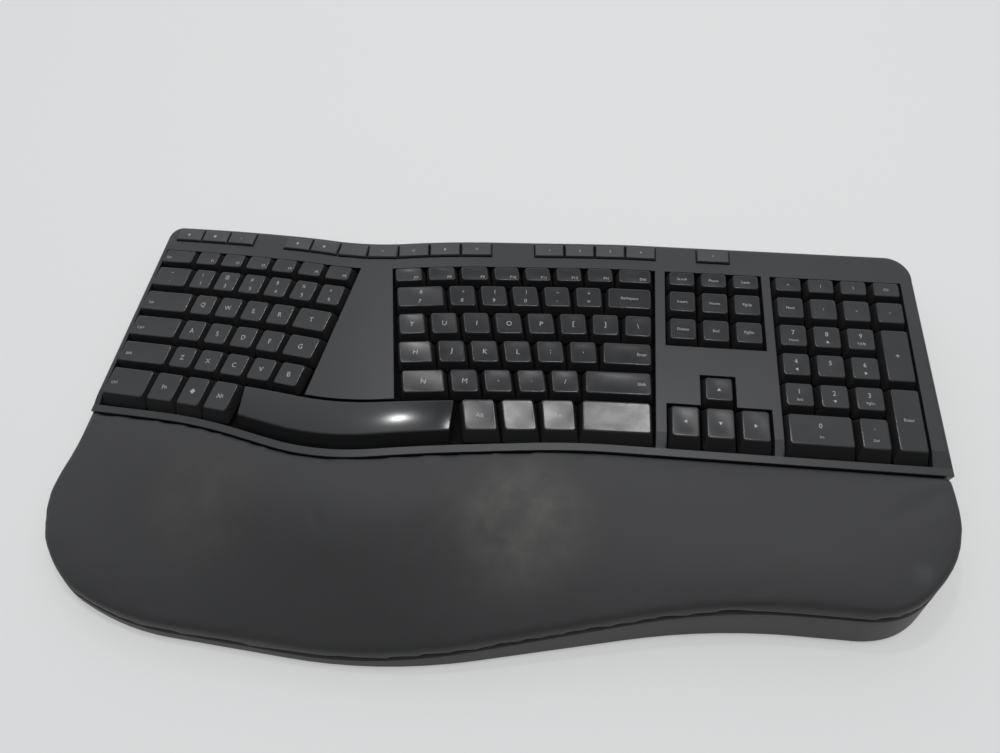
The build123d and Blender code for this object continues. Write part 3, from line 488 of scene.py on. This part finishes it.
def shape_caps(node, lean):
    """Copy a node of caps, dish each top and round its edges."""
    piece = copy_node(node, node + "_caps")
    note_tops(piece, node)
    edit(piece)
    if lean:
        lean_tops(piece, node, lean)
        done()
        note_tops(piece, node)
        edit(piece)
    select_faces(piece, lambda face: face.normal.z > facing_up_share)
    bpy.ops.mesh.inset(thickness=top_rim * MM, depth=0)
    for top in tops[node]:
        press_dish(piece, top)
    select_rim(piece)
    bpy.ops.mesh.bevel(offset=edge_radius * MM, segments=edge_segments, affect="EDGES")
    done()
    smooth(piece, smooth_angle)
    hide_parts(node)
    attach(piece, node)
    return piece


caps = {}
for node in cap_nodes:
    leaning = node in ("bottom_keys_right", "right_control_key")
    caps[node] = shape_caps(node, thumb_key_lean if leaning else 0)
print("caps", sum(len(tops[node]) for node in cap_nodes), "in", len(caps), "pieces")
print("faces", sum(len(piece.data.polygons) for piece in caps.values()))

# %% [markdown]
# The long space bar is one arched cap. It has no dish: its top is smooth and a little crowned,
# and the edge round its top is rounded by nearly a millimetre, more than on the other caps.

# %% Shape the space bar
bar_facing_share = 0.75
bar_edge_radius = 0.9
bar_edge_segments = 4
space_bar = copy_node("space_bar", "space_bar_cap")
edit(space_bar)
select_rim(space_bar, bar_facing_share)
bpy.ops.mesh.bevel(offset=bar_edge_radius * MM, segments=bar_edge_segments, affect="EDGES")
done()
smooth(space_bar, smooth_angle)
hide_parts("space_bar")
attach(space_bar, "space_bar")
print("space bar faces", len(space_bar.data.polygons))

# %% [markdown]
# The hot keys are low buttons, almost flush with the back strip. Only their top edges are rounded,
# by a third of a millimetre.

# %% Shape the hot keys
hot_edge_radius = 0.35
hot_caps = {}
for node in hot_nodes:
    piece = copy_node(node, node + "_caps")
    note_tops(piece, node)
    edit(piece)
    select_rim(piece)
    bpy.ops.mesh.bevel(offset=hot_edge_radius * MM, segments=edge_segments, affect="EDGES")
    done()
    smooth(piece, smooth_angle)
    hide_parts(node)
    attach(piece, node)
    hot_caps[node] = piece
print("hot keys", {node: len(tops[node]) for node in hot_nodes})

# %% [markdown]
# The legends are pale ink, printed on the caps in a plain sans serif. The letters stand at the
# middle of their caps, the number row has its sign above its digit, the wide keys have a small
# word at one end, and the function keys have theirs low on the right. Each legend is a text made
# a mesh, laid onto the dish and given a skin of ink a few hundredths of a millimetre thick.

# %% Legends of every key
letter_size = 4.4
word_size = 2.7
mark_size = 2.4
curve_steps = 3
legend_lift = 2
ink_gap = 0.015
ink_thickness = 0.03
legends = {
    "function_keys_left": ("low", "Esc F1 F2 F3 F4 F5 F6"),
    "number_keys_left": ("pair", "~_` !_1 @_2 #_3 $_4 %_5 ^_6"),
    "tab_key": ("left", "Tab"),
    "top_letter_keys_left": ("letter", "Q W E R T"),
    "caps_lock_key": ("left", "Caps"),
    "home_keys_left": ("letter", "A S D F G"),
    "left_shift_key": ("left", "Shift"),
    "low_letter_keys_left": ("letter", "Z X C V B"),
    "left_control_key": ("left", "Ctrl"),
    "bottom_keys_left": ("sign", "Fn ◆ Alt"),
    "function_keys_right": ("low", "F7 F8 F9 F10 F11 F12 Prt Del"),
    "number_keys_right": ("pair", "&_7 *_8 (_9 )_0 –_- +_="),
    "backspace_key": ("middle", "Backspace"),
    "top_letter_keys_right": ("letter", "Y U I O P [ ] \\"),
    "enter_key": ("right", "Enter"),
    "home_keys_right": ("letter", "H J K L ; '"),
    "right_shift_key": ("right", "Shift"),
    "low_letter_keys_right": ("letter", "N M , . /"),
    "right_control_key": ("right", "Ctrl"),
    "bottom_keys_right": ("sign", "Alt ≡ Fn"),
    "navigation_keys_top": ("word", "Scroll Pause Lock"),
    "navigation_keys_middle": ("word", "Insert Home PgUp"),
    "navigation_keys_low": ("word", "Delete End PgDn"),
    "arrow_up_key": ("mark", "▲"),
    "arrow_left_key": ("mark", "◀"),
    "arrow_down_key": ("mark", "▼"),
    "arrow_right_key": ("mark", "▶"),
    "pad_keys_top": ("word", "= ( ) Clr"),
    "pad_keys_upper": ("word", "Num / × –"),
    "pad_keys_seven_to_nine": ("digit", "7_Home 8_▲ 9_PgUp"),
    "pad_keys_four_to_six": ("digit", "4_◀ 5_· 6_▶"),
    "pad_keys_low": ("digit", "1_End 2_▼ 3_PgDn ._Del"),
    "pad_plus_key": ("letter", "+"),
    "pad_enter_key": ("word", "Enter"),
    "pad_zero_key": ("digit", "0_Ins"),
    "hot_keys_left": ("mark", "▶ ■ ♪"),
    "hot_keys_middle": ("mark", "◀ ▶ – + ⌂ ★ ✕"),
    "hot_keys_right": ("mark", "1 2 3 4 ="),
}


def parts_of(style, text, width, depth):
    """Each word of a legend with its size and place on the key, in millimetres."""
    if style == "letter":
        return [(text, letter_size, 0, 0, "CENTER")]
    if style == "sign":
        return [(text, letter_size * 0.85, 0, 0, "CENTER")]
    if style == "pair":
        high, low = text.split("_")
        return [
            (high, letter_size * 0.78, 0, depth * 0.2, "CENTER"),
            (low, letter_size * 0.82, 0, -depth * 0.2, "CENTER"),
        ]
    if style == "digit":
        high, low = text.split("_")
        return [
            (high, letter_size * 0.9, 0, depth * 0.15, "CENTER"),
            (low, word_size * 0.8, 0, -depth * 0.22, "CENTER"),
        ]
    if style == "left" or text == "Esc":
        return [(text, word_size, -width * 0.36, 0, "LEFT")]
    if style == "right":
        return [(text, word_size, width * 0.42, 0, "RIGHT")]
    if style == "low":
        return [(text, word_size, width * 0.36, -depth * 0.2, "RIGHT")]
    if style == "mark":
        return [(text, mark_size, 0, 0, "CENTER")]
    return [(text, word_size * 0.95, 0, 0, "CENTER")]


def write_word(text, size, along_shift, up_shift, align, top):
    """Make one word a flat mesh and lay it over its key."""
    centre, along, up, normal, _ = top
    bpy.ops.object.text_add()
    word = bpy.context.object
    word.data.body = text
    word.data.size = size * MM
    word.data.resolution_u = curve_steps
    word.data.align_x = align
    word.data.align_y = "CENTER"
    bpy.ops.object.convert(target="MESH")
    word = bpy.context.object
    heights = [vertex.co.y for vertex in word.data.vertices]
    level = size * MM * 0.02
    if align == "CENTER":
        level = (max(heights) + min(heights)) / 2
    turned = Matrix((along, up, normal)).transposed().to_4x4()
    place = centre + along * along_shift * MM + up * (up_shift * MM - level)
    place += normal * legend_lift * MM
    word.data.transform(Matrix.Translation(place) @ turned)
    return word


def print_legends(node, piece):
    """Write the legends of one node's keys and lay them on its caps as one piece."""
    style, text = legends[node]
    ordered = list(tops[node])
    if node == "pad_keys_low":
        # The point key stands in front of the 3, but its label comes last.
        point = min(ordered, key=lambda top: top[0].y)
        ordered = [top for top in ordered if top is not point] + [point]
    words = []
    for label, top in zip(text.split(), ordered):
        width, depth = (value / MM for value in top[4])
        for part in parts_of(style, label, width, depth):
            words.append(write_word(*part, top))
    activate(words[0])
    for word in words:
        word.select_set(True)
    bpy.ops.object.join()
    ink = bpy.context.object
    ink.name = node + "_legends"
    ink.data.name = ink.name
    apply(
        ink,
        "SHRINKWRAP",
        target=piece,
        wrap_method="PROJECT",
        use_project_z=True,
        use_negative_direction=True,
        use_positive_direction=False,
        wrap_mode="ABOVE_SURFACE",
        offset=ink_gap * MM,
    )
    apply(ink, "SOLIDIFY", thickness=ink_thickness * MM, offset=1)
    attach(ink, node)
    return ink


inks = {}
for node in legends:
    inks[node] = print_legends(node, {**caps, **hot_caps}[node])
print("legend pieces", len(inks), "faces", sum(len(ink.data.polygons) for ink in inks.values()))

# %% [markdown]
# The palm rest is one wide foam pad under a soft grained cover. The model's pad is a closed solid
# of the right place and size, but foam swells between its edges. So a copy is remeshed into even
# small squares, smoothed and laid back onto the model's surface. Its sides are held, and a cloth
# simulation blows the top up gently. The swelling is capped, so that it stays clear of the keys.
# At its left end the foam also bulges over the edge of the body by a few millimetres. At last,
# one subdivision makes it smooth, and the result is fixed in the mesh.

# %% Palm rest pad
pad_square = 2.7
air_pressure = 4
settling_frames = 20
most_rise = 1.2
most_sink = 0.6
end_bulge = 4.5
bulge_starts = {"left": 190, "forwards": 34, "backwards": -104}
bulge_reach = {"left": 50, "forwards": 28, "backwards": 20}
pad_smooth_angle = 60


def bulge_share(value, way):
    """Share of the end's bulge, which rises from 0 to 1 as a place lies further one way."""
    return min(max((value / MM - bulge_starts[way]) / bulge_reach[way], 0), 1)


pad = copy_node("palm_rest_pad", "palm_rest_cushion")
apply(pad, "REMESH", mode="VOXEL", voxel_size=pad_square * MM)
apply(pad, "SMOOTH", factor=0.5, iterations=6)
model_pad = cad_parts["palm_rest_pad"]
apply(pad, "SHRINKWRAP", target=model_pad, wrap_method="NEAREST_SURFACEPOINT")
apply(pad, "SMOOTH", factor=0.5, iterations=2)
pad_rest = [vertex.co.copy() for vertex in pad.data.vertices]
held = pad.vertex_groups.new(name="held")
sides = [vertex.index for vertex in pad.data.vertices if vertex.normal.z < facing_up_share]
held.add(sides, 1, "REPLACE")
print("pad vertices", len(pad_rest))
activate(pad)
cloth = pad.modifiers.new("Cloth", "CLOTH")
cloth.settings.vertex_group_mass = "held"
cloth.settings.use_pressure = True
cloth.settings.uniform_pressure_force = air_pressure
cloth.settings.effector_weights.gravity = 0
scene.frame_start = 1
scene.frame_end = settling_frames
for step in range(1, settling_frames + 1):
    scene.frame_set(step)
bpy.ops.object.modifier_apply(modifier=cloth.name)
scene.frame_set(1)
most = 0
for vertex, rest in zip(pad.data.vertices, pad_rest):
    move = vertex.co - rest
    most = max(most, move.length)
    limit = (most_rise if move.z > 0 else most_sink) * MM
    if move.length > limit:
        vertex.co = rest + move * (limit / move.length)
print("largest swelling before the cap", round(most / MM, 2), "mm")
for vertex in pad.data.vertices:
    outer_share = bulge_share(-vertex.co.x, "left")
    back_share = bulge_share(-vertex.co.y, "forwards")
    front_share = bulge_share(vertex.co.y, "backwards")
    vertex.co.x -= end_bulge * MM * outer_share * back_share * front_share
apply(pad, "SMOOTH", factor=0.5, iterations=2)
apply(pad, "SUBSURF", levels=1, render_levels=1)
smooth(pad, pad_smooth_angle)
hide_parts("palm_rest_pad")
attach(pad, "case")

# %% [markdown]
# The caps are moulded in charcoal plastic. Their tops are polished by the mould and by fingers, so
# they mirror the lamps softly, with faint smudges. Their sides are matt, and their colour is
# painted nearly black as painted shade, for the shadow that falls between the caps. The two are
# told apart by how far the surface faces up.

# %% Finish of the caps


def facing_up(finish, low, high):
    """Mask that is 0 on the sides of a piece and 1 where it faces up."""
    shape = finish.node("ShaderNodeNewGeometry")
    split = finish.node("ShaderNodeSeparateXYZ", None, {0: shape.outputs["Normal"]})
    rising = finish.node(
        "ShaderNodeMapRange",
        {"interpolation_type": "SMOOTHSTEP"},
        {"Value": split.outputs["Z"], "From Min": low, "From Max": high},
    )
    return Mask(finish, rising.outputs["Result"])


key_finish = Finish("key_plastic", (0.026, 0.0265, 0.028), 0.24)
smudge = key_finish.noise(9, 4, 0.6, [(0.4, 0), (0.7, 1)])
shade = key_finish.noise(60, 2, 0.5, [(0.3, 0), (0.7, 1)])
grain = key_finish.noise(0.14, 2)
top_mask = facing_up(key_finish, 0.72, 0.93)
top_color = key_finish.mix(shade, (0.021, 0.0215, 0.023, 1), (0.027, 0.0275, 0.029, 1))
# Painted shade: the sides of the caps are painted nearly black for the shadow between them.
side_painted_shade = (0.005, 0.005, 0.0055, 1)
key_finish.set("Base Color", key_finish.mix(top_mask, side_painted_shade, top_color))
key_finish.set("Roughness", 0.75 - top_mask * 0.55 + smudge * 0.05 + grain * 0.03)
key_finish.bump(grain, 0.004)
key_finish.on(*caps.values())
print("caps finished")

# %% [markdown]
# The space bar is the same plastic, but the thumbs have polished it. It is darker than the other
# caps. Its sides are painted darker still, as painted shade. A thin clear coat stands for the
# polish: it mirrors the lamp over it as a sharp bright spot, and the plastic below adds the halo.

# %% Finish of the space bar
# Painted shade: the sides of the bar are painted darker than its top.
bar_side_painted_shade = (0.005, 0.005, 0.0055, 1)
bar_pale = (0.01, 0.0105, 0.011, 1)
bar_finish = Finish(
    "thumb_plastic", bar_pale[:3], 0.3, Specular_IOR_Level=0.14, Coat_Roughness=0.15
)
bar_smudge = bar_finish.noise(14, 4, 0.6, [(0.4, 0), (0.7, 1)])
bar_grain = bar_finish.noise(0.14, 2)
bar_top = facing_up(bar_finish, 0.6, 0.93)
bar_finish.set("Base Color", bar_finish.mix(bar_top, bar_side_painted_shade, bar_pale))
bar_finish.set("Roughness", 0.7 - bar_top * 0.4 + bar_smudge * 0.05 + bar_grain * 0.03)
bar_finish.set("Coat Weight", bar_top * 0.9)
bar_finish.bump(bar_grain, 0.003)
bar_finish.on(space_bar)
print("space bar finished")

# %% [markdown]
# The hot keys are the same plastic as the back strip they stand in, only a touch smoother. Their
# sides are painted much darker as painted shade, for the dark lines at their front edges. The
# legends are a pale ink, thin enough to be worn a little darker in places.

# %% Finish of the hot keys and the ink
hot_finish = Finish("hot_key_plastic", (0.05, 0.051, 0.053), 0.42)
hot_grain = hot_finish.noise(0.2, 2)
hot_shade = hot_finish.noise(25, 2, 0.5, [(0.3, 0), (0.7, 1)])
hot_top = facing_up(hot_finish, 0.7, 0.93)
hot_color = hot_finish.mix(hot_shade, (0.05, 0.051, 0.053, 1), (0.06, 0.061, 0.063, 1))
# Painted shade: the sides of the hot keys are painted dark.
hot_side_painted_shade = (0.015, 0.015, 0.016, 1)
hot_finish.set("Base Color", hot_finish.mix(hot_top, hot_side_painted_shade, hot_color))
hot_finish.set("Roughness", 0.42 + hot_grain * 0.08)
hot_finish.bump(hot_grain, 0.006)
hot_finish.on(*hot_caps.values())
ink_finish = Finish("legend_ink", (0.5, 0.51, 0.52), 0.6)
rub = ink_finish.noise(1.2, 3, 0.6, [(0.35, 0), (0.6, 1)])
ink_finish.set("Base Color", ink_finish.mix(rub, (0.36, 0.37, 0.38, 1), (0.56, 0.57, 0.58, 1)))
ink_finish.on(*inks.values())
print("hot keys and ink finished")

# %% [markdown]
# The housing is charcoal plastic from a spark-eroded mould: a fine even texture, a third of a
# millimetre across, which spreads the lamps' light into a wide sheen. A Bevel node rounds the
# sharp edges of the wells in shading alone, as the mould's small radii do. The lower skirt is
# charcoal plastic too, but it is painted paler and browner, as a painted reflection of the warm
# desk below it.

# %% Finish of the housing
spark_depth = 0.02
edge_shading = 0.5


def moulded(name, light, dark, roughness, **sockets):
    """Spark-eroded plastic between two near shades, with softened edges."""
    finish = Finish(name, light, roughness, **sockets)
    cloud = finish.noise(45, 3, 0.5, [(0.3, 0), (0.7, 1)])
    spark = finish.noise(0.32, 3, 0.6)
    finish.set("Base Color", finish.mix(cloud, (*dark, 1), (*light, 1)))
    finish.set("Roughness", roughness - 0.04 + spark * 0.08)
    round_edge = finish.node("ShaderNodeBevel", {"samples": 4}, {"Radius": edge_shading * MM})
    made = finish.node(
        "ShaderNodeBump",
        None,
        {
            "Height": spark,
            "Distance": spark_depth * MM,
            "Strength": 0.7,
            "Normal": round_edge.outputs["Normal"],
        },
    )
    finish.set("Normal", made.outputs["Normal"])
    return finish


case_pale = (0.034, 0.0345, 0.036)
case_dark = (0.029, 0.0295, 0.031)
# Painted reflection: the skirt's charcoal plastic is painted paler and browner for the warm desk
# it mirrors.
skirt_painted_reflection_pale = (0.05, 0.048, 0.047)
skirt_painted_reflection_dark = (0.042, 0.041, 0.04)
black = (0.004, 0.004, 0.0045)
case_finish = moulded("case_plastic", case_pale, case_dark, 0.42)
for node in ("top_cover", "tilt_leg_left", "tilt_leg_right"):
    case_finish.on(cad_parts[node])
skirt_finish = moulded("skirt_plastic_painted_reflection", skirt_painted_reflection_pale, skirt_painted_reflection_dark, 0.5)
for node in ("bottom_cover", "palm_rest_carrier"):
    skirt_finish.on(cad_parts[node])
# The key frames are dark plastic, painted near black and with little sheen as painted shade in the
# gaps between the keys.
frame_finish = moulded("frame_plastic", black, black, 0.8, Specular_IOR_Level=0.12)
for node in ("key_frame_left", "key_frame_right", "key_frame_pads"):
    frame_finish.on(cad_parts[node])
print("housing finished")

# %% [markdown]
# The pad's cover is a soft synthetic leather. Its grain is a net of small cells, which the Voronoi
# texture draws; the noise between them breaks up the net. Where the palms rest the cover is worn
# paler and a little browner, in two patches, and there is one pale rubbed spot near the right
# corner. The patches are soft balls of colour broken by noise.

# %% Finish of the pad
pad_finish = Finish(
    "soft_cover", (0.036, 0.036, 0.036), 0.62, Sheen_Weight=0.08, Sheen_Roughness=0.5
)
cell_net = pad_finish.cells(1.1, "DISTANCE_TO_EDGE", [(0.0, 0), (0.12, 1)])
pores = pad_finish.noise(0.35, 3, 0.6)
clouds = pad_finish.noise(70, 3, 0.5, [(0.3, 0), (0.7, 1)])
blots = pad_finish.noise(16, 4, 0.6, [(0.38, 0), (0.66, 1)])
left_wear = pad_finish.spot((-154, -59, 28), 6, 38) * (0.35 + blots * 0.65)
middle_wear = pad_finish.spot((22, -58, 34), 8, 42) * (0.35 + blots * 0.65)
rub_spot = pad_finish.spot((225, -70, 34), 1, 8) * (0.4 + blots * 0.6)
ground_color = pad_finish.mix(clouds, (0.033, 0.033, 0.033, 1), (0.038, 0.038, 0.038, 1))
worn_color = pad_finish.mix(left_wear, ground_color, (0.056, 0.053, 0.047, 1))
worn_color = pad_finish.mix(middle_wear, worn_color, (0.082, 0.078, 0.069, 1))
worn_color = pad_finish.mix(rub_spot, worn_color, (0.06, 0.068, 0.066, 1))
pad_finish.set("Base Color", worn_color)
pad_finish.set("Roughness", 0.66 - middle_wear * 0.08 - pores * 0.08)
pad_finish.bump(cell_net * 0.7 + pores * 0.3, 0.05, 0.6)
pad_finish.on(pad)
print("pad finished")

# %% [markdown]
# The rest is seen only from below or at the back: dull rubber feet, leg tips and cable bush, dark
# screws, and the parts inside, which keep plain finishes of their own.

# %% Finish of the small and inner pieces
rubber_finish = Finish("rubber", (0.03, 0.03, 0.031), 0.8)
dust = rubber_finish.noise(3, 4, 0.6, [(0.4, 0), (0.7, 1)])
rubber_color = rubber_finish.mix(dust, (0.025, 0.025, 0.026, 1), (0.05, 0.05, 0.05, 1))
rubber_finish.set("Base Color", rubber_color)
rubber_finish.bump(rubber_finish.noise(0.3, 2), 0.02)
for node in ("rubber_feet", "leg_tip_left", "leg_tip_right", "cable_bush", "rubber_domes"):
    rubber_finish.on(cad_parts[node])
screw_finish = Finish("screw_steel", (0.2, 0.2, 0.21), 0.35, Metallic=1.0)
scuff = screw_finish.noise(0.6, 3, 0.6)
screw_finish.set("Roughness", 0.28 + scuff * 0.2)
screw_finish.on(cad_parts["case_screws"])
steel_finish = Finish("steel_sheet", (0.55, 0.55, 0.56), 0.35, Metallic=1.0)
spangle = steel_finish.cells(7)
steel_finish.set("Roughness", 0.26 + spangle * 0.25)
steel_finish.on(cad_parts["backing_plate"])
film_finish = Finish("circuit_film", (0.42, 0.44, 0.47), 0.25)
film_lines = film_finish.noise(5, 2, 0.4, [(0.46, 0), (0.5, 1)])
film_color = film_finish.mix(film_lines, (0.42, 0.44, 0.47, 1), (0.3, 0.31, 0.33, 1))
film_finish.set("Base Color", film_color)
film_finish.on(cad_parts["membrane_sheet"])
board_finish = Finish("circuit_board", (0.02, 0.14, 0.06), 0.3)
traces = board_finish.cells(2.4, "DISTANCE_TO_EDGE", [(0.06, 0), (0.1, 1)])
board_color = board_finish.mix(traces, (0.03, 0.2, 0.09, 1), (0.015, 0.11, 0.045, 1))
board_finish.set("Base Color", board_color)
for node in ("controller_board", "hot_key_strip"):
    board_finish.on(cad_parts[node])
print("inner pieces finished")
